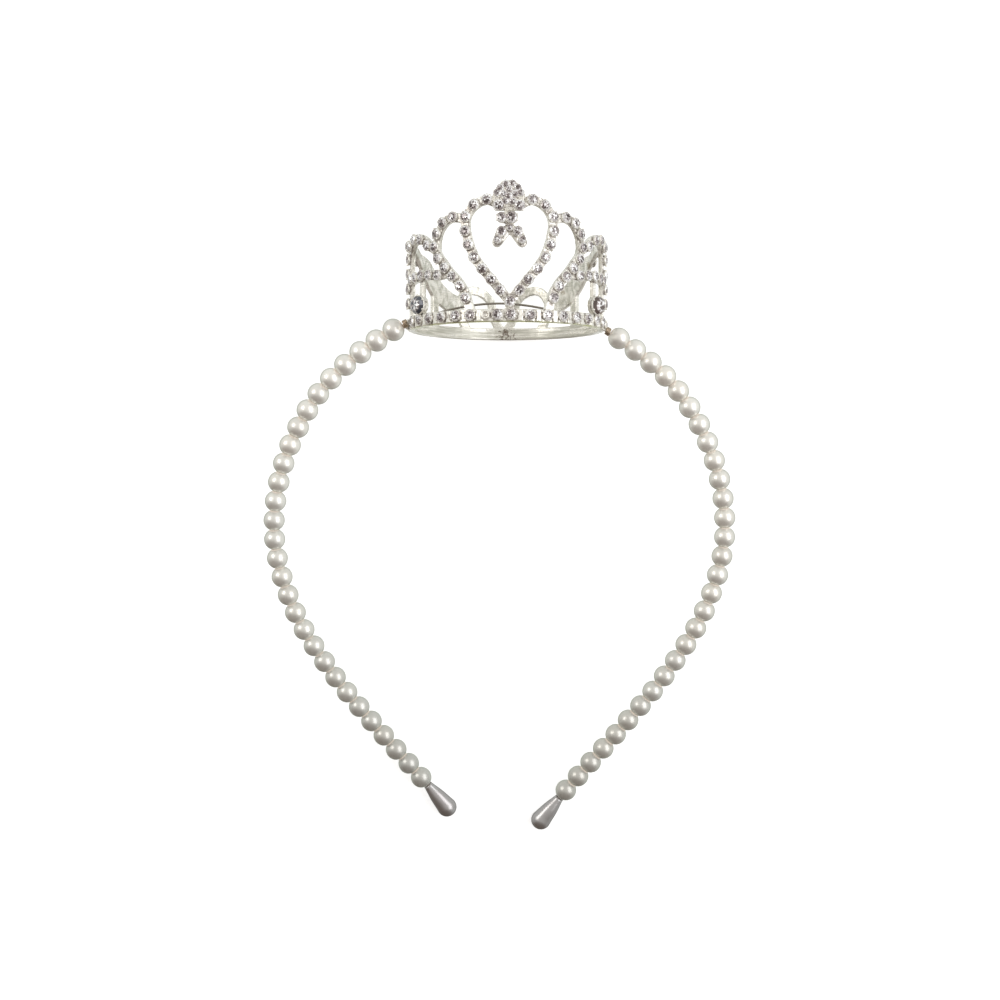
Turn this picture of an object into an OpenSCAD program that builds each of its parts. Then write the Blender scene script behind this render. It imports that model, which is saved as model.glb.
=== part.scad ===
// Mini crown headband: a small cast crown set with clear stones, bound with wire
// onto a headband of imitation pearls strung on a steel wire.
// It lies on its back: +Y is the way the crown points, and its front faces up, along +Z.

/* [Pearl headband] */
// Width of the headband over its pearls
band_w = 146; // [120:1:180]
// Length of the headband in its own plane, from the top of the wire to the route's end
band_len = 169; // [130:1:200]
// Diameter of one pearl
pearl_d = 6; // [4:0.25:8]
// Space between neighbouring pearls
pearl_gap = 0.12; // [0.1:0.02:0.3]
// Diameter of the steel wire that carries the pearls
wire_d = 0.9; // [0.6:0.1:1.4]
// Clearance round the wire in the pearls, tips, bindings and crown
wire_gap = 0.22; // [0.15:0.01:0.3]
// Length of a teardrop tip
tip_len = 12.4; // [8:0.2:18]
// Largest diameter of a teardrop tip
tip_d = 6.2; // [4:0.1:8]
// Thickness of the binding wire
binding_d = 0.6; // [0.3:0.05:0.9]
// Turns in each binding
binding_turns = 3; // [2:1:6]

/* [Crown] */
// Outer diameter of the crown's metal
crown_d = 59.4; // [48:0.2:75]
// Height of the crown at the front
crown_h = 40.9; // [30:0.1:52]
// Thickness of the cast metal
metal_t = 1.5; // [1:0.1:2.5]
// Height of the band at the foot of the crown
foot_h = 3.8; // [3:0.1:6]
// Width of the cast strips
strip_w = 2.8; // [1.4:0.1:3.2]
// Width of the broad strips behind the side arches
rear_w = 6.2; // [2:0.1:7]
// How far the crown sits to the right of the headband's middle
crown_shift = 2.4; // [-6:0.2:6]
// How far the crown has turned on the headband, in degrees
crown_turn = 1.6; // [-6:0.2:6]
// How far the wire passes in front of the crown's axis
wire_front = 6; // [0:0.5:10]
// Height of the wire's top above the foot of the crown
wire_rise = 8; // [7:0.2:12]

/* [Stones] */
// Diameter of a small stone
stone_d = 2.7; // [1.8:0.1:3.2]
// Height of a small stone above its seat
stone_h = 0.65; // [0.4:0.05:1.2]
// Distance between the small stones along a strip
stone_pitch = 3.9; // [3.3:0.1:6]
// Angle between the stones of the foot row, in degrees
row_pitch = 9.9; // [8:0.1:15]
// Diameter of the two large side stones
side_stone_d = 4.4; // [3:0.1:6]
// Height of a large side stone
side_stone_h = 1.5; // [0.8:0.1:2.5]
// How far a seat stands out of its strip
seat_h = 0.45; // [0.2:0.05:1]
// Rim of metal round a stone's seat
seat_rim = 0.2; // [0.1:0.05:0.5]
// Clearance between a stone and its seat
stone_gap = 0.12; // [0.1:0.01:0.3]

/* [Hidden] */

// Shapes of the crown, each row an angle from the crown's front in degrees
// and a height as a share of crown_h.
heart_half = [
    [0, 0.144], [9.7, 0.291], [19.9, 0.452], [24.6, 0.601], [25.8, 0.700],
    [24.4, 0.773], [19.9, 0.834], [12.7, 0.866], [5.2, 0.824]];
front_scroll = [
    [26.0, 0.735], [33.0, 0.756], [39.2, 0.736], [44.2, 0.670], [46.5, 0.587], [45.8, 0.505],
    [40.8, 0.430], [36.2, 0.364], [31.2, 0.303], [26.6, 0.225], [24.4, 0.139], [22.2, 0.070]];
front_arch = [
    [48.0, 0.540], [53.0, 0.578], [58.8, 0.625], [66.0, 0.648], [74.0, 0.630],
    [80.0, 0.560], [82.0, 0.450], [82.0, 0.260], [82.0, 0.070]];
rear_arch = [[82.0, 0.560], [87.0, 0.625], [96.0, 0.648], [104.0, 0.630], [111.0, 0.585], [117.0, 0.530]];
rear_scroll = [[111.0, 0.585], [117.5, 0.545], [123.5, 0.475], [132.5, 0.360], [143.0, 0.280], [150.8, 0.250]];
cross_bar = [[36.5, 0.366], [44.0, 0.352], [51.0, 0.362], [60.0, 0.370], [71.0, 0.362], [82.0, 0.362]];
back_loop = [
    [178.3, 0.070], [174.0, 0.160], [171.5, 0.305], [164.0, 0.378], [156.0, 0.374],
    [150.8, 0.295], [150.8, 0.190], [156.0, 0.070]];
rear_post = [[130.0, 0.340], [130.0, 0.070]];
side_strut = [[61.0, 0.365], [61.0, 0.070]];

// Stones of the dome at the top and of the bow below it: sideways, upwards and size, all as shares of stone_d.
crest_chart = [
    [0.27, 1.08, 0.62], [-0.43, 1.08, 0.62], [-0.98, 0.66, 0.62], [-0.08, 0.48, 0.62], [0.82, 0.66, 0.62],
    [-1.36, 0.1, 0.62], [-0.7, 0, 0.62], [0.54, 0, 0.62], [1.2, 0.1, 0.62], [-0.08, -0.26, 0.62],
    [-0.46, -0.82, 0.62], [0.3, -0.82, 0.62], [-1.2, -1.22, 0.95], [1.04, -1.22, 0.95]];
bow_chart = [
    [-0.88, 1.1, 0.95], [0.21, 1.1, 1.1], [0, 0, 0.6],
    [-0.89, -0.4, 0.95], [0.89, -0.4, 0.95], [-1.3, -1.25, 0.74], [1.3, -1.25, 0.74]];
bow_end = [1.39, -1.52, 0.9];
bow_height = 0.663;

// Foot row, in degrees: the seats at the front, the empty one, the bar beside it, where the even rows start
// and how far they reach.
front_seats = [-22.5, -6.8, 0.6, 11.2, 21.6];
empty_seat = -13.5;
lone_bar = -17.2;
row_start = 31.4;
row_reach = 118;

// Half of the headband's route in its own plane: sideways share of half the width, and share of band_len.
half_route = [
    [0, 0], [0.243, 0.0142], [0.486, 0.0540], [0.766, 0.150], [0.943, 0.282], [1, 0.426],
    [0.922, 0.565], [0.754, 0.689], [0.550, 0.799], [0.334, 0.906], [0.221, 0.966], [0.162, 1]];

gem_sides = 8;
side_gem_sides = 10;
seat_sides = 8;
wire_sides = 6;
foot_segments = 64;
knot_steps = 6;
strip_steps = 2;

half_pearl = pearl_d / 2;
pitch = pearl_d + pearl_gap;
bore_d = wire_d + 2 * wire_gap;
tip_r = tip_d / 2;
out_r = crown_d / 2;
in_r = out_r - metal_t;
seat_d = stone_d + 2 * seat_rim;
seat_depth = metal_t * 0.3;
seat_r = out_r + seat_h;
stone_r = seat_r + stone_gap;
binding_len = binding_turns * binding_d;
binding_r = wire_d / 2 + wire_gap + binding_d / 2;
binding_off = 0.95;
bar_w = 1.7;
crest_height = crown_h - crest_chart[0][1] * stone_d - crest_chart[0][2] * stone_d / 2 - seat_rim;
side_angle = 61;
side_seat_d = side_stone_d + 3 * seat_rim;
side_height = foot_h + 0.1 + side_seat_d / 2;

// A smooth curve through a list of points, with its end tangents towards the neighbours
function knot(k, i) =
    i < 0 ? 2 * k[0] - k[1] : i >= len(k) ? 2 * k[len(k) - 1] - k[len(k) - 2] : k[i];
function blend(a, b, c, d, t) =
    0.5 * (2 * b + (c - a) * t + (2 * a - 5 * b + 4 * c - d) * t * t + (3 * b - a - 3 * c + d) * t * t * t);
function curve(k, steps) = concat(
    [for (i = [0:len(k) - 2], j = [0:steps - 1])
        blend(knot(k, i - 1), k[i], k[i + 1], knot(k, i + 2), j / steps)],
    [k[len(k) - 1]]);

// The length run so far at each point of a path, and the place at a given length
function runs(p) = [
    for (i = 0, s = 0; i < len(p); i = i + 1, s = i < len(p) ? s + norm(p[i] - p[i - 1]) : s) s];
function place(p, r, s) = [
    lookup(s, [for (i = [0:len(p) - 1]) [r[i], p[i][0]]]),
    lookup(s, [for (i = [0:len(p) - 1]) [r[i], p[i][1]]])];
function unit(v) = v / norm(v);

// The headband's route in its own plane: sideways, and along the plane from the wire's top
half_w = (band_w - pearl_d) / 2;
half_knots = [for (k = half_route) [k[0] * half_w, k[1] * band_len]];
widest = 5;
whole_knots = concat([for (i = [len(half_knots) - 1:-1:1]) [-half_knots[i][0], half_knots[i][1]]], half_knots);
route = curve(whole_knots, knot_steps);
route_mid = (len(route) - 1) / 2;
right_route = [for (i = [route_mid:len(route) - 1]) route[i]];
right_runs = runs(right_route);
route_end = right_runs[len(right_runs) - 1];
rise_table = [for (i = [0:widest * knot_steps - 1]) [right_route[i][0], right_runs[i]]];

// Lengths along the route at which the crown's wall, the first pearl and the tip's neck lie on one side
wall_reach = sqrt(out_r * out_r - wire_front * wire_front);
function wall_run(side) = lookup(wall_reach + side * crown_shift, rise_table);
function first_run(side) = wall_run(side) + binding_off + binding_len + pearl_gap + half_pearl;
pearl_count = floor((route_end - first_run(1) - tip_len + half_pearl) / pitch);
function neck_run(side) = first_run(side) + (pearl_count - 1) * pitch + half_pearl + pearl_gap;
function flat_place(side, s) = let (p = place(right_route, right_runs, s)) [side * p[0], p[1]];
function flat_dir(side, s) = unit(flat_place(side, s + 0.5) - flat_place(side, s - 0.5));
function tip_centre(side) =
    flat_place(side, neck_run(side)) + (tip_len - tip_r) * flat_dir(side, neck_run(side) - 0.5);

// The crown lies on its back and the headband slopes down from it until both tips touch the surface
crown_z = out_r;
wire_top_z = crown_z + wire_front;
tips = [tip_centre(-1), tip_centre(1)];
tip_mid = (tips[0] + tips[1]) / 2;
slope = (wire_top_z - tip_r) / tip_mid[1];
lean = slope * (tips[1][1] - tips[0][1]) / (tips[1][0] - tips[0][0]);
fall = asin(slope);
reach = max(tips[0][1], tips[1][1]) * cos(fall) + tip_r;
foot_y = (reach - wire_rise - crown_h) / 2;
wire_top_y = foot_y + wire_rise;
function in_space(p) = [
    p[0], wire_top_y - p[1] * cos(fall), wire_top_z - p[1] * slope + (p[0] - tip_mid[0]) * lean];

// A point on the crown's wall: angle from the front, height above the foot, distance from the axis
function on_crown(a, h, r) = [
    crown_shift + r * sin(a + crown_turn), foot_y + h, crown_z + r * cos(a + crown_turn)];
function wall_point(q, r) = on_crown(q[0] / out_r * 180 / PI, q[1], r);
// A table of angles and heights laid out flat, in millimetres, for one side of the crown
function laid_out(table, side) = [for (k = table) [side * k[0] * PI / 180 * out_r, k[1] * crown_h]];
function charted(chart, height) = [
    for (c = chart) [c[0] * stone_d, height + c[1] * stone_d, c[2] * stone_d]];

// Places of the stones along a path, evenly spaced and no closer than the pitch
function along(p, first, last) =
    let (r = runs(p), whole = r[len(r) - 1], n = max(1, floor((whole - first - last) / stone_pitch)))
    [for (i = [0:n]) let (q = place(p, r, first + i * (whole - first - last) / n)) [q[0], q[1], stone_d]];

// The places in a list that stay clear of every place that is already taken
function clearance(q, k) = norm([q[0] - k[0], q[1] - k[1]]) - (q[2] + k[2]) / 2;
function apart(places, taken) = [
    for (q = places) if (min([for (k = taken) clearance(q, k)]) > stone_gap) q];

side_seat = [side_angle * PI / 180 * out_r, side_height, side_stone_d];
row_height = foot_h * 0.56;
binding_angle = acos(wire_front / out_r);
side_row = [for (a = [row_start:row_pitch:row_reach]) if (abs(a - binding_angle) > row_pitch * 0.6) a];
row_angles = concat([for (i = [len(side_row) - 1:-1:0]) -side_row[i]], front_seats, side_row);
row_seats = [for (a = row_angles) [a * PI / 180 * out_r, row_height, stone_d]];

crest_seats = charted(crest_chart, crest_height);
bow_seats = charted(bow_chart, bow_height * crown_h);
bow_ends = [for (side = [-1, 1]) [
    side * bow_end[0] * stone_d, bow_height * crown_h + bow_end[1] * stone_d, bow_end[2] * stone_d]];
heart_right = curve(laid_out(heart_half, 1), strip_steps);
heart_left = curve(laid_out(heart_half, -1), strip_steps);
heart_seats = apart(
    concat(along(heart_right, 0, 0.1), [for (q = along(heart_left, 0, 0.1)) if (q[0] < -0.5) q]),
    concat(crest_seats, bow_seats, row_seats));

function smooth_path(table, side) = curve(laid_out(table, side), strip_steps);
function scroll_seats(side) = apart(
    along(smooth_path(front_scroll, side), stone_pitch, stone_pitch * 1.2),
    concat(heart_seats, row_seats));
function front_arch_seats(side) = apart(
    along(smooth_path(front_arch, side), stone_pitch * 0.75, stone_pitch * 1.3),
    concat(scroll_seats(side), row_seats));
function cross_seats(side) = apart(
    along(smooth_path(cross_bar, side), stone_pitch, stone_pitch),
    concat(scroll_seats(side), front_arch_seats(side), [[side * side_seat[0], side_seat[1], side_seat[2]]]));
function rear_arch_seats(side) = apart(
    along(smooth_path(rear_arch, side), stone_pitch, stone_pitch * 0.6),
    front_arch_seats(side));
function arch_seats(side) = concat(front_arch_seats(side), cross_seats(side), rear_arch_seats(side));

// Cut stones on the wall, as one field: a flat back, slanting facets and a table
function gem_ring(q, d, r, n) =
    let (a = q[0] / out_r * 180 / PI + crown_turn, c = wall_point(q, r))
    [for (i = [0:n - 1]) let (t = (i + 0.5) * 360 / n)
        c + d / 2 * (cos(t) * [cos(a), 0, -sin(a)] + sin(t) * [0, 1, 0])];
function gem_faces(n, at) = concat(
    [[for (i = [0:n - 1]) at + i]],
    [for (i = [0:n - 1]) [at + i, at + n + i, at + n + (i + 1) % n, at + (i + 1) % n]],
    [[for (i = [n - 1:-1:0]) at + n + i]]);
module gems(seats, n, height, base_r) {
    polyhedron(
        points = [for (q = seats) each concat(
            gem_ring(q, q[2], base_r, n), gem_ring(q, q[2] * 0.58, base_r + height, n))],
        faces = [for (k = [0:len(seats) - 1]) each gem_faces(n, k * 2 * n)]);
}

// A flat cast strip that follows a path on the wall, and may swell to its width over the first points
module strip(p, width, first = 0) {
    ahead = [for (i = [0:len(p) - 1]) unit(p[min(i + 1, len(p) - 1)] - p[max(i - 1, 0)])];
    widths = [[0, first > 0 ? first : width], [3, width]];
    side = [for (i = [0:len(p) - 1]) [-ahead[i][1], ahead[i][0]] * lookup(i, widths) / 2];
    corners = [for (i = [0:len(p) - 1]) each [
        wall_point(p[i] + side[i], in_r), wall_point(p[i] + side[i], out_r),
        wall_point(p[i] - side[i], out_r), wall_point(p[i] - side[i], in_r)]];
    last = 4 * (len(p) - 1);
    walls = [for (i = [0:len(p) - 2], j = [0:3])
        let (a = 4 * i + j, b = 4 * i + (j + 1) % 4) each [[a, a + 4, b], [b, a + 4, b + 4]]];
    polyhedron(
        points = corners,
        faces = concat(walls, [[0, 1, 2], [0, 2, 3], [last, last + 2, last + 1], [last, last + 3, last + 2]]));
}

// Puts its children on the wall, with their Z pointing outwards
module on_wall(q) {
    a = q[0] / out_r * 180 / PI + crown_turn;
    translate(wall_point(q, 0)) rotate([0, a, 0]) children();
}

// A seat: a pad through the metal that stands a little proud of it
module seat(q, rim = seat_rim, sides = seat_sides) {
    d = q[2] + 2 * rim;
    on_wall(q) translate([0, 0, in_r + seat_depth]) rotate([0, 0, 180 / sides])
        hull() cylinder(h = seat_r - in_r - seat_depth, d = d, $fn = sides);
}

// A plate between pads, as wide as each of them
module plate(places, height = metal_t) {
    hull() for (q = places)
        on_wall(q) translate([0, 0, in_r]) cylinder(h = height, d = q[2] + 2 * seat_rim, $fn = 12);
}

module foot_band() {
    translate([crown_shift, foot_y, crown_z]) rotate([-90, crown_turn, 0])
        rotate_extrude($fn = foot_segments) translate([in_r, 0]) square([metal_t, foot_h]);
}

// Upright bars between the seats of the foot row
module row_bars() {
    for (i = [0:len(row_angles) - 2])
        let (a = row_angles[i], b = row_angles[i + 1])
            if (b - a > row_pitch * 0.9 && b - a < row_pitch * 1.5)
                row_bar((a + b) / 2);
    row_bar(lone_bar);
}
module row_bar(a) {
    on_wall([a * PI / 180 * out_r, foot_h / 2]) translate([0, 0, in_r + 0.2])
        linear_extrude(seat_r - in_r - 0.2) square([bar_w, foot_h - 0.4], center = true);
}

// The seat of the foot row that has lost its stone
module lost_seat() {
    on_wall([empty_seat * PI / 180 * out_r, row_height]) translate([0, 0, in_r])
        difference() {
            cylinder(h = seat_r + 0.3 - in_r, d = seat_d * 0.86, $fn = 12);
            translate([0, 0, metal_t]) cylinder(h = seat_h + 1, d = stone_d * 0.66, $fn = 12);
        }
}

module side_setting(side) {
    q = [side * side_seat[0], side_seat[1], side_seat[2]];
    on_wall(q) translate([0, 0, in_r])
        hull() {
            cylinder(h = metal_t, d = side_seat_d, $fn = side_gem_sides);
            cylinder(h = seat_r - in_r + 0.35, d = side_stone_d + seat_rim, $fn = side_gem_sides);
        }
}

module heart() {
    strip(heart_right, strip_w);
    strip(heart_left, strip_w);
    strip([heart_right[0], [0, foot_h / 2]], strip_w);
    for (q = heart_seats) seat(q);
}
module crest() {
    lobe = heart_right[len(heart_right) - 1];
    plate(crest_seats, seat_r - in_r);
    plate([[-lobe[0], lobe[1], stone_d / 2], [lobe[0], lobe[1], stone_d / 2]]);
}
module bow() {
    b = bow_seats;
    knot_top = [0, b[0][1], stone_d * 0.9];
    plate([b[0], b[1]]);
    plate([[0, crest_height - stone_d, stone_d * 0.7], knot_top]);
    plate([knot_top, b[2]]);
    plate([b[2], b[3], bow_ends[0]]);
    plate([b[2], b[4], bow_ends[1]]);
    for (q = b) seat(q);
}
module side_motif(side) {
    for (table = [front_scroll, front_arch, cross_bar, rear_arch])
        strip(smooth_path(table, side), strip_w);
    strip(smooth_path(rear_scroll, side), rear_w, strip_w);
    strip(laid_out(rear_post, side), strip_w);
    strip(laid_out(side_strut, side), strip_w * 0.6);
    for (q = concat(scroll_seats(side), arch_seats(side))) seat(q);
    side_setting(side);
}
module back_motif(side) {
    strip(smooth_path(back_loop, side), strip_w);
}

module crown_frame() {
    color([0.82, 0.83, 0.84]) difference() {
        union() {
            foot_band();
            row_bars();
            lost_seat();
            for (q = row_seats) seat(q);
            heart();
            crest();
            bow();
            for (side = [-1, 1]) {
                side_motif(side);
                back_motif(side);
            }
        }
        wire_sweep(bore_d + 0.1);
    }
}

// Half of the wire's rings, one inside the tip and then one between each two pearls
function wire_half(side) = let (neck = neck_run(side)) concat(
    [in_space(flat_place(side, neck + tip_len * 0.3))],
    [for (s = [neck - pearl_gap / 2:-pitch:pitch / 2]) in_space(flat_place(side, s))]);

// The wire, or the way cut for it, swept along the route in rings
module wire_sweep(d) {
    left = wire_half(-1);
    right = wire_half(1);
    p = concat(left, [in_space([0, 0])], [for (i = [len(right) - 1:-1:0]) right[i]]);
    n = wire_sides;
    up = unit(cross([1, 0, 0], in_space([0, 1]) - in_space([0, 0])));
    rings = [for (i = [0:len(p) - 1])
        let (t = unit(p[min(i + 1, len(p) - 1)] - p[max(i - 1, 0)]), b = unit(cross(t, up)))
        each [for (j = [0:n - 1]) p[i] + d / 2 * (cos(j * 360 / n) * up + sin(j * 360 / n) * b)]];
    last = n * (len(p) - 1);
    walls = [for (i = [0:len(p) - 2], j = [0:n - 1])
        let (a = n * i + j, b = n * i + (j + 1) % n) each [[a, a + n, b], [b, a + n, b + n]]];
    polyhedron(
        points = rings,
        faces = concat(walls, [[for (j = [0:n - 1]) j], [for (j = [n - 1:-1:0]) last + j]]));
}
module headband_wire() {
    color([0.62, 0.58, 0.5]) wire_sweep(wire_d);
}

// Puts its children on the route with their Z pointing along it, away from the crown
module on_route(side, s) {
    a = in_space(flat_place(side, s));
    t = unit(in_space(flat_place(side, s + 0.5)) - in_space(flat_place(side, s - 0.5)));
    translate(a) rotate([0, acos(t[2]), atan2(t[1], t[0])]) children();
}
module pearls(side) {
    for (i = [0:pearl_count - 1])
        on_route(side, first_run(side) + i * pitch) difference() {
            sphere(d = pearl_d, $fn = 24);
            cylinder(h = pearl_d + 1, d = bore_d, center = true, $fn = 16);
        }
}
module pearls_left() {
    color([0.93, 0.9, 0.86]) pearls(-1);
}
module pearls_right() {
    color([0.93, 0.9, 0.86]) pearls(1);
}

// A teardrop tip: a neck that swells into a round end, drilled blind for the wire
module teardrop(side) {
    start = neck_run(side);
    body = tip_len - tip_r;
    neck_r = bore_d / 2 + 0.45;
    on_route(side, start) rotate_extrude($fn = 32) polygon(concat(
        [[bore_d / 2, 0], [neck_r, 0]],
        [for (i = [1:6]) let (t = i / 6)
            [neck_r + (tip_r - neck_r) * (3 * t * t - 2 * t * t * t), body * t]],
        [for (i = [1:6]) [tip_r * cos(i * 15), body + tip_r * sin(i * 15)]],
        [[0, tip_len * 0.36], [bore_d / 2, tip_len * 0.36]]));
}
module tip_left() {
    color([0.75, 0.73, 0.72]) teardrop(-1);
}
module tip_right() {
    color([0.75, 0.73, 0.72]) teardrop(1);
}

// A binding: close turns of soft wire round the headband's wire, against the crown
module binding(side) {
    facets = 8;
    inner = binding_r - binding_d / 2;
    on_route(side, wall_run(side) + binding_off) rotate_extrude($fn = 24) polygon(concat(
        [[inner, binding_len], [inner, 0]],
        [for (k = [0:binding_turns - 1], i = [0:facets])
            if (k == 0 || i > 0)
                let (t = 180 * i / facets - 90)
                    [binding_r + binding_d / 2 * cos(t), binding_d * (k + 0.5 + 0.5 * sin(t))]]));
}
module binding_left() {
    color([0.72, 0.6, 0.46]) binding(-1);
}
module binding_right() {
    color([0.72, 0.6, 0.46]) binding(1);
}

module row_stones() {
    color([0.9, 0.9, 0.95]) gems(row_seats, gem_sides, stone_h, stone_r);
}
module heart_stones() {
    color([0.9, 0.9, 0.95]) gems(heart_seats, gem_sides, stone_h, stone_r);
}
module crest_stones() {
    color([0.9, 0.9, 0.95]) gems(crest_seats, gem_sides, stone_h, stone_r);
}
module bow_stones() {
    color([0.9, 0.9, 0.95]) gems(bow_seats, gem_sides, stone_h, stone_r);
}
module scroll_stones_left() {
    color([0.9, 0.9, 0.95]) gems(scroll_seats(-1), gem_sides, stone_h, stone_r);
}
module scroll_stones_right() {
    color([0.9, 0.9, 0.95]) gems(scroll_seats(1), gem_sides, stone_h, stone_r);
}
module arch_stones_left() {
    color([0.9, 0.9, 0.95]) gems(arch_seats(-1), gem_sides, stone_h, stone_r);
}
module arch_stones_right() {
    color([0.9, 0.9, 0.95]) gems(arch_seats(1), gem_sides, stone_h, stone_r);
}
module side_stone(side) {
    q = [side * side_seat[0], side_seat[1], side_seat[2]];
    gems([q], side_gem_sides, side_stone_h, seat_r + 0.35 + stone_gap);
}
module side_stone_left() {
    color([0.85, 0.87, 0.95]) side_stone(-1);
}
module side_stone_right() {
    color([0.85, 0.87, 0.95]) side_stone(1);
}

crown_frame();
headband_wire();
pearls_left();
pearls_right();
tip_left();
tip_right();
binding_left();
binding_right();
row_stones();
heart_stones();
crest_stones();
bow_stones();
scroll_stones_left();
scroll_stones_right();
arch_stones_left();
arch_stones_right();
side_stone_left();
side_stone_right();
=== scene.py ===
"""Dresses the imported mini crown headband: cast metal, cut stones, pearls, wire, tips and their stage."""

import math
import random

import bmesh
import bpy
from mathutils import Matrix, Vector
from mathutils.bvhtree import BVHTree
from mathutils.kdtree import KDTree


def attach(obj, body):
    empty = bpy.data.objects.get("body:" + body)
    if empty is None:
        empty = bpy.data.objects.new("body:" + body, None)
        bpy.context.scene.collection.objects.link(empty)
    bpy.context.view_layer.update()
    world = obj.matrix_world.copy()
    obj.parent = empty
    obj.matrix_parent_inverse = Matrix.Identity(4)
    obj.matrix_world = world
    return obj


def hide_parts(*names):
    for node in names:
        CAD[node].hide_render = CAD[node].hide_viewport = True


bl_info = {
    "name": "Mini crown headband",
    "version": (1, 0, 0),
    "blender": (4, 5, 0),
    "location": "View3D > Sidebar > Crown",
    "description": "Builds the looks of a mini crown on a pearl headband round its fixed frame",
    "category": "Object",
}

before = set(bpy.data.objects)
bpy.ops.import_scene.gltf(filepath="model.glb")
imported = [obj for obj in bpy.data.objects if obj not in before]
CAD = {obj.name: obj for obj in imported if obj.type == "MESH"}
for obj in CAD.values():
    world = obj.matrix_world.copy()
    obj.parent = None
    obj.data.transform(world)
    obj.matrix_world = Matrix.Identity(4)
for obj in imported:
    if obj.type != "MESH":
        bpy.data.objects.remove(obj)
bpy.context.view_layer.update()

MM = 0.001
WELD = 0.002 * MM
SEED = 29

# The crown's axis, seen along +Y, with the radii and the lower edge of its foot band
AXIS_X = 2.4 * MM
AXIS_Z = 29.7 * MM
OUTER_R = 29.7 * MM
INNER_R = 28.2 * MM
FOOT_Y = CAD["crown_frame"].bound_box[0][1]
STONE_NODES = (
    "row_stones", "heart_stones", "crest_stones", "bow_stones",
    "scroll_stones_left", "scroll_stones_right", "arch_stones_left", "arch_stones_right",
)
SIDE_STONE_NODES = ("side_stone_left", "side_stone_right")

# How the casting is smoothed and thinned after its voxel remesh
SMOOTH_SHARE = 0.5
SMOOTH_PASSES = 3
KEPT_FACES = 0.42
# The painted shade round a stone lies on metal between these heights beside the stone's back
PAINTED_SHADE_LOW = -0.9 * MM
PAINTED_SHADE_HIGH = 0.5 * MM
# A collet's foot and top beside a stone's back, and how far four claws turn from the line
# to the next stone, in radians; a large stone has more claws
COLLET_FOOT = -0.3 * MM
COLLET_TOP = 0.22 * MM
CLAW_TURN = 0.55
LARGE_CLAWS = 6
# Sides of the stones, the side that their tables' facets are counted from, and those facets' painted glints and
# reflections
SMALL_SIDES = 8
LARGE_SIDES = 10
SMALL_FIRST = 4
LARGE_FIRST = 9
TABLE_PAINTED_GLINTS = (0.0, 0.05, 0.1, 0.2, 0.3, 0.5, 0.85, 1.0)
# Places that are tried for a grain between the crest's stones
GRAIN_TRIES = 1500
# On the left the first pearls are the widest, and those up to a second number have
# a share of that extra width
WIDEST_PEARLS = 4
WIDER_PEARLS = 12
WIDER_SHARE = 0.4
# How finely pearls and tips are made, the tips' hole, the bindings and the floor
PEARL_RINGS = 14
PEARL_TURNS = 28
TIP_STEPS = 16
TIP_TURNS = 56
TIP_BORE = 0.6 * MM
TIP_DEPTH = 2.5 * MM
BINDING_TURNS = 3
FLOOR_REACH = 3


# Sizes and colours that a user would change

def colour(name, description, default):
    return bpy.props.FloatVectorProperty(
        name=name, description=description, subtype="COLOR", size=3, min=0, max=1, default=default
    )


def length(name, description, default_mm, low=0.0, high=50.0):
    return bpy.props.FloatProperty(
        name=name, description=description, default=default_mm * MM, min=low * MM, max=high * MM,
        unit="LENGTH", precision=5,
    )


def share(name, description, default):
    return bpy.props.FloatProperty(
        name=name, description=description, default=default, min=0, max=1, subtype="FACTOR"
    )


def ratio(name, description, default):
    return bpy.props.FloatProperty(name=name, description=description, default=default, min=0)


class MetalSettings(bpy.types.PropertyGroup):
    silver: colour("Silver", "Colour of the bright plate", (0.94, 0.917, 0.853))
    # The inside and the thin sides are darker partly as painted shade, partly as drawn streaks
    shadow: colour("Inner plate", "Colour of the streaks inside and on the thin sides", (0.57, 0.56, 0.49))
    patina: colour("Patina", "Colour of the brown clouds inside the crown", (0.34, 0.29, 0.20))
    # Painted shade: the dark colour laid into the metal's hollows and round the stones
    painted_shade: colour("Painted shade", "Colour of the dark dirt in the corners and round the stones", (0.12, 0.075, 0.055))
    gilt: colour("Gilt edge", "Colour of the yellow edge along the foot", (0.66, 0.68, 0.36))
    solder: colour("Solder", "Colour of the burnt solder at the back of the foot band", (0.10, 0.055, 0.03))
    foot_height: length("Foot band", "Height up to which the streaks run along the foot band", 5.5, 0, 20)
    metallic: share("Metallic", "How metallic the plate looks", 0.6)
    roughness: share("Roughness", "Roughness of the plate", 0.3)
    voxel: length("Casting detail", "Size of the smallest form that the casting keeps", 0.235, 0.1, 1)
    claw: length("Claw", "Radius of a claw that holds a stone", 0.3, 0.1, 1)
    collet: length("Collet", "Thickness of the wall round a stone", 0.13, 0.05, 0.5)
    grain: length("Grain", "Radius of a grain of metal between the crest's stones", 0.27, 0.1, 1)
    # How far the painted shade reaches from a stone's edge
    painted_shade_reach: length("Reach of the dirt", "How far the dirt spreads from a stone's edge", 0.9, 0.1, 3)
    full_stone: length("Full stone", "Radius of the stone that the claw and the collet are sized for", 1.35, 0.5, 3)


class StoneSettings(bpy.types.PropertyGroup):
    # Colours, dark to light, of the facets' painted reflections and glints
    dark: colour("Dark facets", "Colour of the darkest facets", (0.04, 0.022, 0.02))
    middle: colour("Middle facets", "Colour of the facets between dark and light", (0.37, 0.315, 0.31))
    light: colour("Light facets", "Colour of the lightest facets", (1.0, 1.0, 1.0))
    # Darkest painted reflections of the two large stones
    side_dark: colour("Left side stone, dark", "Darkest facets of the left large stone", (0.045, 0.055, 0.075))
    side_brown: colour("Right side stone, dark", "Darkest facets of the right large stone", (0.08, 0.05, 0.04))
    roughness: share("Roughness", "Roughness of the facets", 0.06)
    fullness: ratio("Fullness", "Size of a cut stone beside its plain solid", 1.16)
    crest_fullness: ratio("Crest fullness", "Size of a cut crest stone beside its plain solid", 1.3)
    side_fullness: ratio("Side fullness", "Size of a cut side stone beside its plain solid", 1.25)
    side_turn: share("Side turn", "How far the two large stones are set turned to the front", 0.3)


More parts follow.
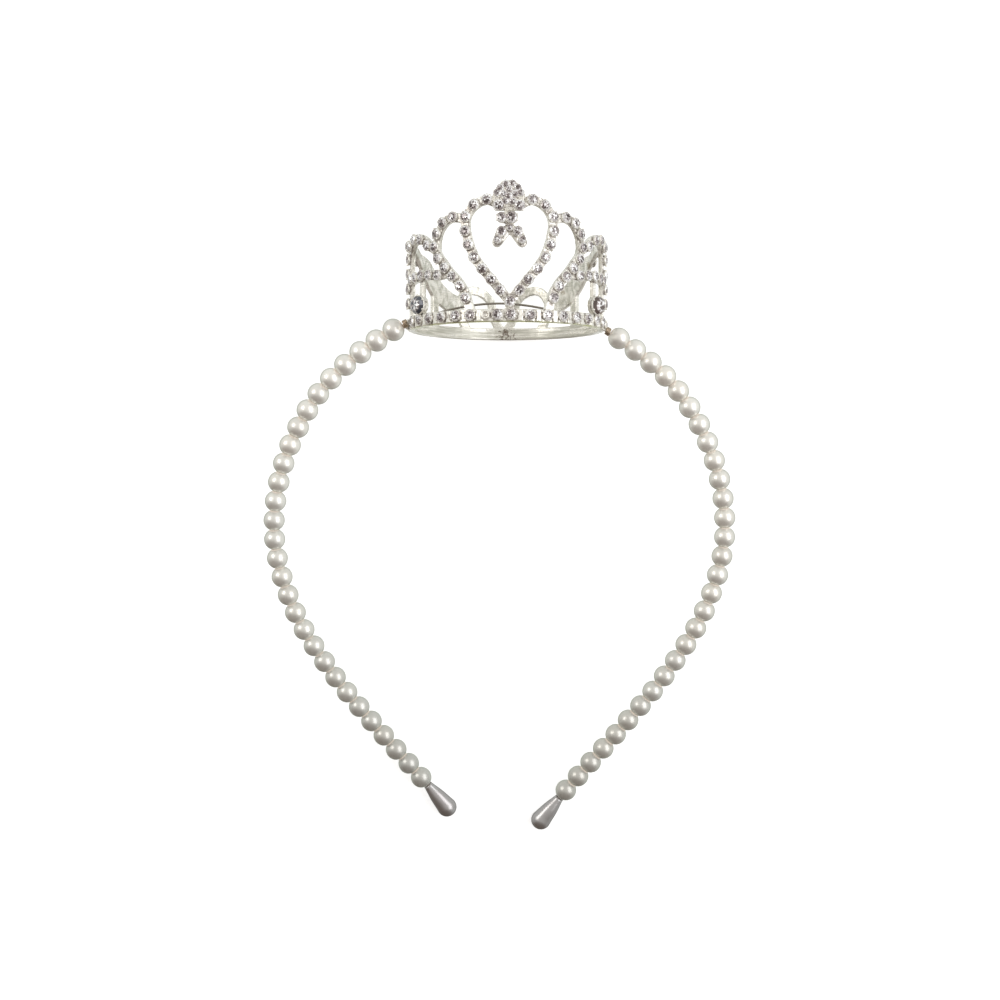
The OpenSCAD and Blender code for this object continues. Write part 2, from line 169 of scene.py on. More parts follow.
class PearlSettings(bpy.types.PropertyGroup):
    cream: colour("Cream", "Colour of the lighter pearl coating", (0.97, 0.954, 0.898))
    grey: colour("Grey", "Colour of the greyer pearl coating", (0.885, 0.862, 0.822))
    # Painted shade laid over the coating where it is seen at a slant; it also tints the reflections
    rim_shade: colour("Rim", "Colour of the coating where it is seen at a slant", (0.52, 0.55, 0.49))
    # Painted glow round the holes, where light seems to pass between touching pearls
    touch: colour("Glow and wear", "Colour of the coating round the holes", (0.84, 0.78, 0.72))
    roughness: share("Roughness", "Roughness of the pearl coating", 0.33)
    lustre: share("Lustre", "How metallic the pearl coating looks", 0.6)
    bore: length("Bore", "Radius of the hole through a pearl", 0.52, 0.2, 2)
    # Painted shade: the pearls darken towards the far ends of the strings
    fully_lit_share: share("Fully lit", "Share of a string, from the crown down, that keeps its full lightness", 0.1)
    end_shade: share("End shade", "How much darker the last pearl is than the first", 0.41)
    smallest: share("Smallest", "Width of the slimmest pearl beside the widest", 0.98)
    length: length("Pearl length", "Length of a pearl along the wire", 6.05, 2, 20)
    girth: ratio("Girth", "Width of the widest pearl beside its length", 1.10)
    larger: share("Larger", "How much wider the first pearls left of the crown are than the rest", 0.06)


class TipSettings(bpy.types.PropertyGroup):
    silver: colour("Silver", "Colour of the tips' coating", (0.50, 0.50, 0.495))
    plum: colour("Plum", "Second colour, which clouds the coating", (0.43, 0.40, 0.40))
    # Painted shade laid over the tips' coating where it is seen at a slant; it also tints their reflections
    rim_shade: colour("Rim", "Colour of the coating where it is seen at a slant", (0.30, 0.292, 0.277))
    roughness: share("Roughness", "Roughness of the tips' coating", 0.3)
    neck: length("Neck", "Radius of a tip where it meets its pearl", 1.4, 0.8, 3)
    longer: length("Longer", "How much longer a tip is than its plain solid", 0.5, 0, 3)
    girth: ratio("Girth", "Width of a tip beside its plain solid", 1.0)


class WireSettings(bpy.types.PropertyGroup):
    steel: colour("Steel", "Colour of the wire between the pearls", (0.80, 0.76, 0.70))
    # Painted shade on the wire inside the crown
    dimmed: colour("Shaded steel", "Colour of the bare wire inside the crown", (0.30, 0.27, 0.23))
    gilt: colour("Gilt", "Colour of the binding wire", (0.40, 0.32, 0.24))
    wire: length("Wire", "Radius of the headband's wire", 0.34, 0.1, 2)
    binding: length("Binding wire", "Radius of the wire in the bindings", 0.29, 0.1, 1)


class StageSettings(bpy.types.PropertyGroup):
    camera_height: length("Camera height", "Height of the camera above the crown's axis", 530, 100, 3000)
    picture_x: length("Picture middle, across", "How far right of it the crown's axis lies", 1.99)
    picture_y: length("Picture middle, along", "How far above it the crown's foot lies", 51.5, 0, 100)
    lens: ratio("Lens", "Focal length in millimetres for a 36 mm sensor", 62.35)
    floor: colour("Floor", "Colour of the pale floor", (0.70, 0.70, 0.70))
    glow: ratio("Floor glow", "Light that comes up through the floor", 0.6)
    horizon: colour("Horizon", "Colour of the studio round the horizon", (0.74, 0.76, 0.74))
    overhead: colour("Overhead", "Colour of the room above the part", (0.76, 0.745, 0.72))
    dark_side: colour("Dark side", "Colour of the dim room on the near side", (0.15, 0.115, 0.09))
    key: ratio("Right light", "Power of the right light in watts", 3.7)
    fill: ratio("Left light", "Power of the left light in watts", 1.5)


# Shared steps

def settings(name):
    return getattr(bpy.context.scene, name)


def solids_of(node):
    """The points of each loose solid in a CAD node, as a list of lists."""
    bm = bmesh.new()
    bm.from_mesh(CAD[node].data)
    bmesh.ops.remove_doubles(bm, verts=bm.verts, dist=WELD)
    solids, seen = [], set()
    for first in bm.verts:
        if first in seen:
            continue
        seen.add(first)
        shell = [first]
        for vert in shell:
            for edge in vert.link_edges:
                other = edge.other_vert(vert)
                if other not in seen:
                    seen.add(other)
                    shell.append(other)
        solids.append([vert.co.copy() for vert in shell])
    bm.free()
    return solids


def middle(points):
    low = Vector([min(p[i] for p in points) for i in range(3)])
    high = Vector([max(p[i] for p in points) for i in range(3)])
    return (low + high) / 2


def frame_at(place, forward, up=Vector((0, 1, 0))):
    """A turn and a move that bring local Z to forward, local Y near up, and the origin to place."""
    z = forward.normalized()
    x = up.cross(z)
    if x.length < 1e-6:
        x = Vector((1, 0, 0))
    x.normalize()
    turn = Matrix((x, z.cross(x), z)).transposed().to_4x4()
    return Matrix.Translation(place) @ turn


def limited(value):
    return min(1.0, max(0.0, value))


def turned(outline, steps, closed=True):
    """A bmesh of an outline in X and Z that is turned once round Z."""
    bm = bmesh.new()
    corners = [bm.verts.new((x, 0, z)) for x, z in outline]
    ends = corners[1:] + corners[:1] if closed else corners[1:]
    sides = [bm.edges.new(pair) for pair in zip(corners, ends)]
    bmesh.ops.spin(
        bm, geom=corners + sides, cent=(0, 0, 0), axis=(0, 0, 1), angle=math.tau, steps=steps, use_merge=True
    )
    bmesh.ops.remove_doubles(bm, verts=bm.verts, dist=WELD)
    bmesh.ops.recalc_face_normals(bm, faces=bm.faces)
    return bm


def new_mesh(name, bm):
    """Turns a bmesh into a mesh and frees it."""
    mesh = bpy.data.meshes.new(name)
    bm.to_mesh(mesh)
    bm.free()
    return mesh


def new_object(name, data):
    made = bpy.data.objects.new(name, data)
    bpy.context.scene.collection.objects.link(made)
    return made


def add_copy(bm, mesh, matrix):
    """Adds a copy of a mesh to a bmesh, moved by a matrix, and gives back its new faces."""
    verts, faces = len(bm.verts), len(bm.faces)
    bm.from_mesh(mesh)
    bm.verts.ensure_lookup_table()
    bm.faces.ensure_lookup_table()
    bmesh.ops.transform(bm, matrix=matrix, verts=bm.verts[verts:])
    return bm.faces[faces:]


def finish_piece(name, bm, material, nodes=(), smooth=True):
    """Makes a bmesh a piece of the object that rides on the frame and stands for CAD nodes."""
    return finish_mesh(name, new_mesh(name, bm), material, nodes, smooth)


def finish_mesh(name, mesh, material, nodes=(), smooth=True):
    mesh.name = name
    mesh.materials.clear()
    mesh.materials.append(material)
    mesh.polygons.foreach_set("use_smooth", [smooth] * len(mesh.polygons))
    piece = new_object(name, mesh)
    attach(piece, "root")
    if nodes:
        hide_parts(*nodes)
    return piece


def evaluated_mesh(piece):
    """The mesh that a piece's modifiers or curve settings make."""
    bpy.context.view_layer.update()
    graph = bpy.context.evaluated_depsgraph_get()
    return bpy.data.meshes.new_from_object(piece.evaluated_get(graph), depsgraph=graph)


# Node groups and materials

def new_group(name, inputs, outputs):
    group = bpy.data.node_groups.new(name, "ShaderNodeTree")
    for label, kind, default in inputs:
        socket = group.interface.new_socket(label, in_out="INPUT", socket_type=kind)
        if default is not None:
            socket.default_value = default
    for label, kind in outputs:
        group.interface.new_socket(label, in_out="OUTPUT", socket_type=kind)
    return group, group.nodes.new("NodeGroupInput"), group.nodes.new("NodeGroupOutput")


def feed(tree, socket, value):
    """Links an input to a socket, or sets its plain value."""
    if isinstance(value, bpy.types.NodeSocket):
        tree.links.new(value, socket)
    else:
        socket.default_value = value


def add_node(tree, kind, **values):
    """A node with its own settings and with its inputs fed from the dictionary sockets."""
    node = tree.nodes.new(kind)
    sockets = values.pop("sockets", {})
    for label, value in values.items():
        setattr(node, label, value)
    for label, value in sockets.items():
        feed(tree, node.inputs[label], value)
    return node


def math_of(tree, operation, *values):
    """The result of a Math node."""
    return add_node(tree, "ShaderNodeMath", operation=operation, sockets=dict(enumerate(values))).outputs[0]


def vector_of(tree, operation, *values, result="Vector"):
    """The result of a Vector Math node."""
    node = add_node(tree, "ShaderNodeVectorMath", operation=operation, sockets=dict(enumerate(values)))
    return node.outputs[result]


def smooth_step(tree, value, low, high, lowest=0.0, highest=1.0):
    """A value's soft rise, or fall, from lowest to highest between low and high."""
    node = add_node(
        tree, "ShaderNodeMapRange", interpolation_type="SMOOTHSTEP",
        sockets={"Value": value, "From Min": low, "From Max": high, "To Min": lowest, "To Max": highest},
    )
    return node.outputs["Result"]


def mixed(tree, mask, under, over, blend="MIX"):
    """One colour laid over another by a mask."""
    mix = add_node(tree, "ShaderNodeMix", data_type="RGBA", blend_type=blend)
    feed(tree, mix.inputs["Factor"], mask)
    for socket, value in ((mix.inputs[6], under), (mix.inputs[7], over)):
        feed(tree, socket, value if isinstance(value, bpy.types.NodeSocket) else rgba(value))
    return mix.outputs[2]


def rimmed(tree, under, rim_shade, low, high, most):
    """Paints shade over a coating where it is seen at a slant, as a second colour laid there."""
    slant = add_node(tree, "ShaderNodeLayerWeight", sockets={"Blend": 0.5})
    return mixed(tree, smooth_step(tree, slant.outputs["Facing"], low, high, highest=most), under, rim_shade)


def noise(tree, place, scale, detail=2.0):
    node = add_node(tree, "ShaderNodeTexNoise", sockets={"Vector": place, "Scale": scale, "Detail": detail})
    return node.outputs["Fac"]


def attribute(tree, name, output="Fac"):
    return add_node(tree, "ShaderNodeAttribute", attribute_name=name).outputs[output]


def mottling_group():
    """Two colours that drift into each other over a surface."""
    group, given, out = new_group(
        "mottling",
        [("Vector", "NodeSocketVector", None), ("Scale", "NodeSocketFloat", 300.0),
         ("First", "NodeSocketColor", None), ("Second", "NodeSocketColor", None),
         ("Sharpness", "NodeSocketFloat", 0.2), ("Distortion", "NodeSocketFloat", 0.0)],
        [("Color", "NodeSocketColor"), ("Mask", "NodeSocketFloat")],
    )
    drift = add_node(
        group, "ShaderNodeTexNoise",
        sockets={"Vector": given.outputs["Vector"], "Scale": given.outputs["Scale"], "Detail": 4.0,
                 "Distortion": given.outputs["Distortion"]},
    )
    low = math_of(group, "SUBTRACT", 0.5, given.outputs["Sharpness"])
    high = math_of(group, "ADD", 0.5, given.outputs["Sharpness"])
    mask = add_node(
        group, "ShaderNodeMapRange", sockets={"Value": drift.outputs["Fac"], "From Min": low, "From Max": high}
    ).outputs["Result"]
    colour_out = mixed(group, mask, given.outputs["First"], given.outputs["Second"])
    group.links.new(colour_out, out.inputs["Color"])
    group.links.new(mask, out.inputs["Mask"])
    return group


def relief_group():
    """Fine relief of a cast, coated or drawn surface."""
    group, given, out = new_group(
        "fine_relief",
        [("Vector", "NodeSocketVector", None), ("Scale", "NodeSocketFloat", 900.0),
         ("Strength", "NodeSocketFloat", 0.2), ("Depth", "NodeSocketFloat", 0.02 * MM)],
        [("Normal", "NodeSocketVector"), ("Height", "NodeSocketFloat")],
    )
    height = noise(group, given.outputs["Vector"], given.outputs["Scale"], 3.0)
    bump = add_node(
        group, "ShaderNodeBump",
        sockets={"Height": height, "Strength": given.outputs["Strength"], "Distance": given.outputs["Depth"]},
    )
    group.links.new(bump.outputs["Normal"], out.inputs["Normal"])
    group.links.new(height, out.inputs["Height"])
    return group


def place_group(tree, builder, sockets):
    """Puts a shared node group into a material and sets its sockets."""
    name = builder.__name__
    group = bpy.data.node_groups.get(name) or builder()
    group.name = name
    node = tree.nodes.new("ShaderNodeGroup")
    node.node_tree = group
    for label, value in sockets.items():
        feed(tree, node.inputs[label], value)
    return node


def add_relief(tree, shader, place, scale, strength, depth):
    relief = place_group(
        tree, relief_group, {"Vector": place, "Scale": scale, "Strength": strength, "Depth": depth}
    )
    tree.links.new(relief.outputs["Normal"], shader.inputs["Normal"])


def new_material(name, **values):
    """A material with one Principled shader whose plain sockets are set by name."""
    material = bpy.data.materials.new(name)
    material.use_nodes = True
    tree = material.node_tree
    shader = tree.nodes["Principled BSDF"]
    for label, value in values.items():
        shader.inputs[label.replace("_", " ")].default_value = value
    place = tree.nodes.new("ShaderNodeTexCoord").outputs["Object"]
    return material, tree, shader, place


def rgba(value):
    return (*value, 1.0)


def cast_metal():
    """Satin silver plate: streaked and yellower inside, darker inside and on its thin sides as painted shade, with
    painted shade in its corners and round its stones, gilt and burnt at the foot.
    """
    made = bpy.data.materials.get("cast_silver_plate")
    if made:
        return made
    look = settings("crown_metal")
    material, tree, shader, place = new_material("cast_silver_plate", Metallic=look.metallic)

    centred = vector_of(tree, "SUBTRACT", place, (AXIS_X, FOOT_Y, AXIS_Z))
    radius = vector_of(tree, "LENGTH", vector_of(tree, "MULTIPLY", centred, (1, 0, 1)), result="Value")
    outer = smooth_step(tree, radius, INNER_R + 0.2 * MM, OUTER_R - 0.1 * MM)
    axes = add_node(tree, "ShaderNodeSeparateXYZ", sockets={"Vector": centred}).outputs
    height, ahead = axes["Y"], axes["Z"]

    def drawn(stretch, scale, distortion):
        """Streaks of bright plate and of darker plate, whose darkness is partly painted shade, drawn out along the
        short way of a stretch.
        """
        return place_group(
            tree, mottling_group,
            {"Vector": vector_of(tree, "MULTIPLY", place, stretch), "Scale": scale, "First": rgba(look.shadow),
             "Second": rgba(look.silver), "Sharpness": 0.1, "Distortion": distortion},
        )

    # Drawn streaks in a darker colour on the inside and the thin sides, partly painted shade
    lines = drawn((0.06, 1.0, 0.06), 1700.0, 0.3)
    swirls = drawn((0.5, 0.22, 0.4), 900.0, 1.6)
    above = smooth_step(tree, height, look.foot_height * 0.9, look.foot_height * 1.1)
    sides = mixed(tree, above, lines.outputs["Color"], swirls.outputs["Color"])
    clouds = smooth_step(tree, noise(tree, place, 330.0, 3.0), 0.56, 0.7, highest=0.7)
    sides = mixed(tree, math_of(tree, "MULTIPLY", above, clouds), sides, look.patina)
    # The outer face keeps the bright silver; the inside and the thin sides stay darker as painted shade
    plate = mixed(tree, outer, sides, look.silver)

    patchy = smooth_step(tree, noise(tree, place, 260.0), 0.3, 0.6, lowest=0.15)
    front = math_of(tree, "MULTIPLY", smooth_step(tree, ahead, 0.0, 0.6 * OUTER_R), patchy)
    edge = math_of(tree, "MULTIPLY", smooth_step(tree, height, 0.5 * MM, 0.1 * MM), front)
    plate = mixed(tree, edge, plate, look.gilt)

    apart = vector_of(tree, "DISTANCE", centred, (0, 1.0 * MM, -INNER_R), result="Value")
    spread = math_of(tree, "MULTIPLY_ADD", noise(tree, place, 1700.0, 4.0), 16.0 * MM, apart)
    plate = mixed(tree, smooth_step(tree, spread, 10.5 * MM, 7.5 * MM, highest=0.85), plate, look.solder)

    cells = add_node(tree, "ShaderNodeTexVoronoi", sockets={"Vector": place, "Scale": 1500.0}).outputs["Color"]
    specks = smooth_step(tree, cells, 0.25, 0.65, lowest=0.35, highest=1.5)
    # Painted shade in the metal's hollows and round the stones, broken into specks
    painted_shading = math_of(tree, "MULTIPLY", attribute(tree, "painted_shade"), specks)
    plate = mixed(tree, smooth_step(tree, painted_shading, 0.0, 1.0, highest=0.7), plate, look.painted_shade)
    tree.links.new(plate, shader.inputs["Base Color"])
    rough = smooth_step(tree, lines.outputs["Mask"], 0.0, 1.0, look.roughness * 1.3, look.roughness * 0.85)
    tree.links.new(rough, shader.inputs["Roughness"])
    add_relief(tree, shader, place, 650.0, 0.4, 0.05 * MM)
    return material


def cut_glass(name, dark):
    """Foiled glass: each facet takes its painted glints, reflections and shade from the piece's own attribute."""
    made = bpy.data.materials.get(name)
    if made:
        return made
    look = settings("crown_stones")
    material, tree, shader = new_material(
        name, Metallic=0.25, Roughness=look.roughness, IOR=1.6, Coat_Weight=1.0, Coat_Roughness=0.02
    )[:3]
    ramp = add_node(tree, "ShaderNodeValToRGB", sockets={"Fac": attribute(tree, "tone_with_painted_light")})
    stops = ramp.color_ramp.elements
    stops[0].color = rgba(dark)
    stops[1].color = rgba(look.light)
    stops[1].position = 0.85
    stops.new(0.42).color = rgba(look.middle)
    tree.links.new(ramp.outputs["Color"], shader.inputs["Base Color"])
    return material


def pearl_coat():
    """Satin pearl coating in cream and grey, a little different on each pearl, with painted shade at the rims and
    towards the ends of the strings, and a painted glow round the holes.
    """
    look = settings("crown_pearls")
    material, tree, shader, place = new_material(
        "pearl_coat", Roughness=look.roughness, Specular_Tint=rgba(look.rim_shade), IOR=1.15,
        Coat_Weight=0.1, Coat_Roughness=0.15, Coat_IOR=1.25, Emission_Strength=0.14,
    )
    clouds = place_group(
        tree, mottling_group,
        {"Vector": place, "Scale": 260.0, "First": rgba(look.cream), "Second": rgba(look.grey), "Sharpness": 0.35},
    )
    tint = mixed(tree, 1.0, clouds.outputs["Color"], attribute(tree, "shade", "Color"), "MULTIPLY")
    # Painted glow round the holes: a paler colour and a faint emission, with less lustre on the worn flats
    touch = attribute(tree, "touch")
    coat_with_painted_light = mixed(tree, touch, rimmed(tree, tint, look.rim_shade, 0.35, 0.85, 0.7), look.touch)
    tree.links.new(coat_with_painted_light, shader.inputs["Base Color"])
    dimmed = add_node(
        tree, "ShaderNodeMapRange", sockets={"Value": touch, "To Min": look.lustre, "To Max": look.lustre * 0.2}
    )
    tree.links.new(dimmed.outputs["Result"], shader.inputs["Metallic"])
    painted_glow = add_node(tree, "ShaderNodeVectorMath", operation="SCALE", sockets={0: look.touch, "Scale": touch})
    tree.links.new(painted_glow.outputs[0], shader.inputs["Emission Color"])
    add_relief(tree, shader, place, 650.0, 0.12, 0.03 * MM)
    return material


def coated(name, first, second, metallic, roughness, scale, depth):
    """A coated or drawn surface in two close colours with a fine relief."""
    material, tree, shader, place = new_material(name, Metallic=metallic, Roughness=roughness)
    drift = place_group(
        tree, mottling_group,
        {"Vector": place, "Scale": scale, "First": rgba(first), "Second": rgba(second), "Sharpness": 0.25},
    )
    tree.links.new(drift.outputs["Color"], shader.inputs["Base Color"])
    add_relief(tree, shader, place, scale * 3, 0.3, depth)
    return material, tree, shader


# Pieces

def paint_shade_in_hollows(bm, reach):
    """Writes how far each point lies in a hollow of the surface, as the attribute by which shade is painted into the
    hollows.
    """
    for cuts in (4, 2):
        long_edges = [edge for edge in bm.edges if edge.calc_length() > 5 * reach]
        bmesh.ops.subdivide_edges(bm, edges=long_edges, cuts=cuts)
    layer = bm.verts.layers.float.new("painted_shade")
    bm.normal_update()
    depths = {}
    for vert in bm.verts:
        ways = [edge.other_vert(vert).co - vert.co for edge in vert.link_edges]
        if ways:
            run = sum(way.length for way in ways) / len(ways)
            depths[vert] = (sum(ways, Vector()) / len(ways)).dot(vert.normal) / max(run, reach)
    for vert in bm.verts:
        around = [depths.get(edge.other_vert(vert), 0.0) for edge in vert.link_edges]
        depth = (depths.get(vert, 0.0) * 2 + sum(around)) / (2 + len(around))
        # Painted shade, deeper in deeper hollows
        vert[layer] = limited(depth * 5.0 - 0.12)
    return layer


def refine_seats(bm, reach):
    """Splits the long edges of the metal round each stone, so that the painted shade there has points to lie on."""
    seats = [(m.translation, r) for node in STONE_NODES for m, r, _ in stone_frames(node)]
    tree = KDTree(len(seats))
    for number, seat in enumerate(seats):
        tree.insert(seat[0], number)
    tree.balance()
    for limit in (4, 2):
        long_edges = []
        for edge in bm.edges:
            if edge.calc_length() > limit * 0.25 * reach:
                _, number, apart = tree.find((edge.verts[0].co + edge.verts[1].co) / 2)
                if apart < seats[number][1] + reach + edge.calc_length() / 2:
                    long_edges.append(edge)
        bmesh.ops.subdivide_edges(bm, edges=long_edges, cuts=1)


def paint_shade_round_seats(bm, layer, chance):
    """Paints shade on the metal round each stone, darkest towards its neighbours."""
    look = settings("crown_metal")
    tree = KDTree(len(bm.verts))
    bm.verts.ensure_lookup_table()
    for vert in bm.verts:
        tree.insert(vert.co, vert.index)
    tree.balance()
    for node in STONE_NODES + SIDE_STONE_NODES:
        for matrix, radius, towards in stone_frames(node):
            back = matrix.inverted()
            darkest_turn = chance.uniform(0, math.tau)
            edge = radius * fullness_of(node)
            for place, index, _ in tree.find_range(matrix.translation, edge + look.painted_shade_reach):
                spot = back @ place
                if PAINTED_SHADE_LOW < spot.z < PAINTED_SHADE_HIGH:
                    angle = math.atan2(spot.y, spot.x)
                    turn = 0.5 + 0.5 * abs(math.cos(angle - towards)) + 0.35 * math.cos(angle - darkest_turn)
                    near = limited(1.2 - (spot.xy.length - edge) / look.painted_shade_reach)
                    vert = bm.verts[index]
                    vert[layer] = max(vert[layer], turn * near)


class CROWN_OT_casting(bpy.types.Operator):
    """Rounds the crown's metal as a casting, standing for the crown's frame"""

    bl_idname = "crownband.casting"
    bl_label = "Crown casting"

    def execute(self, context):
        look = settings("crown_metal")
        bm = bmesh.new()
        bm.from_mesh(CAD["crown_frame"].data)
        bmesh.ops.remove_doubles(bm, verts=bm.verts, dist=WELD)
        start = new_object("casting_start", new_mesh("casting_start", bm))
        remesh = start.modifiers.new("voxels", "REMESH")
        remesh.mode = "VOXEL"
        remesh.voxel_size = look.voxel
        smooth = start.modifiers.new("smooth", "SMOOTH")
        smooth.factor = SMOOTH_SHARE
        smooth.iterations = SMOOTH_PASSES
        thin = start.modifiers.new("thin", "DECIMATE")
        thin.ratio = KEPT_FACES
        made = evaluated_mesh(start)
        bpy.data.objects.remove(start)
        bm = bmesh.new()
        bm.from_mesh(made)
        refine_seats(bm, look.painted_shade_reach)
        layer = paint_shade_in_hollows(bm, look.voxel)
        paint_shade_round_seats(bm, layer, random.Random(SEED + 3))
        bpy.data.meshes.remove(made)
        finish_piece("crown_casting", bm, cast_metal(), ["crown_frame"])
        return {"FINISHED"}


def stone_frames(node):
    """Where each stone of a node sits: a frame on its back, its radius and the turn to its neighbour."""
    found = []
    for points in solids_of(node):
        centre = sum(points, Vector()) / len(points)
        out = Vector((centre.x - AXIS_X, 0, centre.z - AXIS_Z)).normalized()
        depths = [(p - centre).dot(out) for p in points]
        back = centre + out * min(depths)
        across = max((p - centre - out * (p - centre).dot(out)).length for p in points)
        if node in SIDE_STONE_NODES:
            out = (out + Vector((0, 0, settings("crown_stones").side_turn))).normalized()
        found.append((frame_at(back, out), across))
    placed = []
    for matrix, radius in found:
        others = [m.translation for m, _ in found if m is not matrix]
        turn = 0.0
        if others:
            nearest = min(others, key=lambda p: (p - matrix.translation).length)
            towards = matrix.inverted() @ nearest
            turn = math.atan2(towards.y, towards.x)
        placed.append((matrix, radius, turn))
    return placed


def cut_stone(sides, girdle, star, table, height, first):
    """A stone of radius 1 on its flat back: slanted main facets, star facets and a flat table.

    The table's facets are counted from the side given as first, as their painted glints are drawn in order.
    """
    bm = bmesh.new()
    rings = []
    for radius, z, turn in ((0.97, 0, 0), (1, girdle, 0), (star, height * 0.72, 0), (table, height, 0.5)):
        move = Matrix.Translation((0, 0, z)) @ Matrix.Rotation(math.tau / sides * turn, 4, "Z")
        ring = bmesh.ops.create_circle(bm, segments=sides, radius=radius, matrix=move)["verts"]
        rings.append(list(dict.fromkeys(edge for vert in ring for edge in vert.link_edges)))
    for low, high in zip(rings, rings[1:]):
        band = bmesh.ops.bridge_loops(bm, edges=low + high)["faces"]
    bmesh.ops.triangulate(bm, faces=band, quad_method="SHORT_EDGE")
    bmesh.ops.edgeloop_fill(bm, edges=rings[0])
    crown = bmesh.ops.edgeloop_fill(bm, edges=rings[-1][first:] + rings[-1][:first])["faces"]
    bmesh.ops.poke(bm, faces=crown, offset=-0.03, center_mode="MEAN")
    bmesh.ops.recalc_face_normals(bm, faces=bm.faces)
    return new_mesh("stone_form", bm)


def fullness_of(node):
    """How much larger a node's cut stones are than its plain solids."""
    look = settings("crown_stones")
    if node in SIDE_STONE_NODES:
        return look.side_fullness
    return look.crest_fullness if node == "crest_stones" else look.fullness


def painted_facet_light(spot, top, turn, table, chance):
    """How light a facet is painted, as painted glints and reflections: the table's are mixed, the others alternate,
    and painted shade darkens them towards one side and at the rim.
    """
    sides = len(table)
    angle = math.atan2(spot.y, spot.x) % math.tau
    if spot.z > top * 0.97:
        tone_with_painted_light = table[int(angle / math.tau * sides) % sides]
    else:
        # Painted glints on every other facet, and painted shade on the rim facets
        painted_glint = 0.34 if round(angle / math.tau * 2 * sides) % 2 else -0.3
        rim_shade = 0.2 if math.hypot(spot.x, spot.y) > 0.85 else 0.0
        tone_with_painted_light = 0.32 - rim_shade - 0.26 * math.cos(angle + turn) + painted_glint
    return limited(tone_with_painted_light + chance.uniform(-0.2, 0.2))


def set_stones(name, node, form, sides, material, chance):
    """Sets a copy of a cut stone at each place of the CAD's stones and paints glints, reflections and shade on its
    facets.
    """
    bm = bmesh.new()
    layer = bm.faces.layers.float.new("tone_with_painted_light")
    spots = [face.center.copy() for face in form.polygons]
    top = max(spot.z for spot in spots)
    for matrix, radius, _ in stone_frames(node):
        angle = chance.uniform(0, math.tau)
        lean = Matrix.Rotation(chance.uniform(-0.06, 0.06), 4, "X")
        size = Matrix.Scale(radius * fullness_of(node), 4)
        faces = add_copy(bm, form, matrix @ lean @ Matrix.Rotation(angle, 4, "Z") @ size)
        # Painted shade: the facets are painted darker towards this side, a set side for the bow's stones
        dark_side = chance.uniform(0, math.tau)
        if node == "bow_stones":
            dark_side = math.pi / 2 + chance.uniform(-0.5, 0.5)
        table = [chance.choice(TABLE_PAINTED_GLINTS) for _ in range(sides)]
        for face, spot in zip(faces, spots):
            face[layer] = painted_facet_light(spot, top, angle - dark_side, table, chance)
    bmesh.ops.recalc_face_normals(bm, faces=bm.faces)
    return finish_piece(name, bm, material, [node], smooth=False)


class CROWN_OT_stones(bpy.types.Operator):
    """Cuts the small stones and the two large side stones"""

    bl_idname = "crownband.stones"
    bl_label = "Cut stones"

    def execute(self, context):
        chance = random.Random(SEED)
        look = settings("crown_stones")
        small = cut_stone(SMALL_SIDES, 0.12, 0.8, 0.5, 0.46, SMALL_FIRST)
        glass = cut_glass("foiled_glass", look.dark)
        for node in STONE_NODES:
            name = node.replace("stones", "cut_stones")
            set_stones(name, node, small, SMALL_SIDES, glass, chance)
        large = cut_stone(LARGE_SIDES, 0.12, 0.8, 0.5, 0.62, LARGE_FIRST)
        for node, dark in zip(SIDE_STONE_NODES, (look.side_dark, look.side_brown)):
            glass = cut_glass("foiled_glass_" + node, dark)
            name = node.replace("stone", "cut_stone")
            set_stones(name, node, large, LARGE_SIDES, glass, chance)
        return {"FINISHED"}


def collet_form(radius, wall, low, high, turns, darkest_turn):
    """A rounded wall round a stone, as a closed ring, with painted shade on its inside, darkest towards the given
    turn.
    """
    outline = (
        (radius, low), (radius, high - wall * 0.3), (radius + wall * 0.35, high),
        (radius + wall * 0.8, high - wall * 0.2), (radius + wall * 1.15, low),
    )
    bm = turned(outline, turns)
    painted_shade = bm.verts.layers.float.new("painted_shade")
    for vert in bm.verts:
        if math.hypot(vert.co.x, vert.co.y) < radius + wall * 0.1:
            vert[painted_shade] = max(0.0, 0.35 + 0.75 * math.cos(math.atan2(vert.co.y, vert.co.x) - darkest_turn))
    return bm


def crest_grains(bm, chance):
    """Scatters grains of metal over the dome between its small stones."""
    grain = settings("crown_metal").grain
    metal = bmesh.new()
    metal.from_mesh(CAD["crown_frame"].data)
    tree = BVHTree.FromBMesh(metal)
    metal.free()
    stones = [(m.translation, r * fullness_of("crest_stones")) for m, r, _ in stone_frames("crest_stones")]
    low = [min(p[i] for p, _ in stones) - 1.5 * MM for i in range(3)]
    high = [max(p[i] for p, _ in stones) + 1.5 * MM for i in range(3)]
    taken = []
    for _ in range(GRAIN_TRIES):
        x, y = chance.uniform(low[0], high[0]), chance.uniform(low[1], high[1])
        place, normal = tree.ray_cast(Vector((x, y, high[2] + 5 * MM)), Vector((0, 0, -1)))[:2]
        if place is None or place.z < low[2] or normal.z < 0.6:
            continue
        if any((place - p).xy.length < r + 0.3 * grain for p, r in stones):
            continue
        if any((place - p).length < 1.7 * grain for p in taken):
            continue
        taken.append(place)
        made = bmesh.ops.create_uvsphere(bm, u_segments=7, v_segments=4, radius=grain * chance.uniform(0.75, 1.1))
        bmesh.ops.transform(bm, matrix=Matrix.Translation(place), verts=made["verts"])


